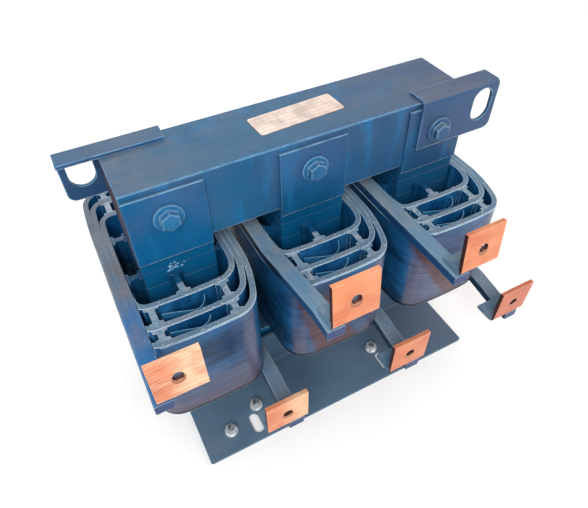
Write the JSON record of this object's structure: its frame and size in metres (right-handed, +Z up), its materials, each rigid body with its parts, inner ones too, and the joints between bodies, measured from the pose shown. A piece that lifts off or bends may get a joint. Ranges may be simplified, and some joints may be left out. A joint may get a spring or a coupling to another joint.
{
  "type": "line reactor",
  "caption": "Three-phase line reactor: gapped iron core with layered, air-ducted windings, copper flag terminals, foot angles and lifting brackets.",
  "frame": {"origin": "middle of the core's underside, on the surface it stands on", "axes": "+X along the yokes, away from the first winding; the terminals face -Y; +Z up"},
  "size_m": [0.48, 0.3558, 0.366],
  "materials": {
    "core_paint": "semi-gloss sprayed varnish",
    "frame_paint": "semi-gloss sprayed varnish",
    "fastener_paint": "semi-gloss sprayed varnish",
    "winding_varnish": "dipped and sprayed varnish over wrapped conductor",
    "gap_pad": "varnished laminate",
    "duct_stick": "varnished glass laminate",
    "copper": "cut and lightly brushed copper bar",
    "zinc_plate": "bright zinc plating",
    "label_plate": "satin, printed pale"
  },
  "bodies": {
    "root": {"bottom_yoke": "core_paint", "top_yoke": "core_paint", "limb_blocks_1": "core_paint", "gap_pads_1": "gap_pad", "limb_blocks_2": "core_paint", "gap_pads_2": "gap_pad", "limb_blocks_3": "core_paint", "gap_pads_3": "gap_pad", "clamp_plates_top_front": "frame_paint", "clamp_plates_top_rear": "frame_paint", "clamp_plates_bottom_front": "frame_paint", "clamp_plates_bottom_rear": "frame_paint", "bracket_front_right": "frame_paint", "bracket_rear_left": "frame_paint", "foot_front": "frame_paint", "foot_rear": "frame_paint", "yoke_bolts": "fastener_paint", "yoke_nuts": "fastener_paint", "foot_studs": "zinc_plate", "foot_stud_nuts": "zinc_plate", "winding_1_inner": "winding_varnish", "winding_1_middle": "winding_varnish", "winding_1_outer": "winding_varnish", "limb_sticks_1": "duct_stick", "inner_duct_sticks_1": "duct_stick", "outer_duct_sticks_1": "duct_stick", "top_lead_1": "winding_varnish", "bottom_lead_1": "winding_varnish", "top_terminal_1": "copper", "bottom_terminal_1": "copper", "winding_2_inner": "winding_varnish", "winding_2_middle": "winding_varnish", "winding_2_outer": "winding_varnish", "limb_sticks_2": "duct_stick", "inner_duct_sticks_2": "duct_stick", "outer_duct_sticks_2": "duct_stick", "top_lead_2": "winding_varnish", "bottom_lead_2": "winding_varnish", "top_terminal_2": "copper", "bottom_terminal_2": "copper", "winding_3_inner": "winding_varnish", "winding_3_middle": "winding_varnish", "winding_3_outer": "winding_varnish", "limb_sticks_3": "duct_stick", "inner_duct_sticks_3": "duct_stick", "outer_duct_sticks_3": "duct_stick", "top_lead_3": "winding_varnish", "bottom_lead_3": "winding_varnish", "top_terminal_3": "copper", "bottom_terminal_3": "copper", "nameplate": "label_plate"}
  },
  "joints": []
}
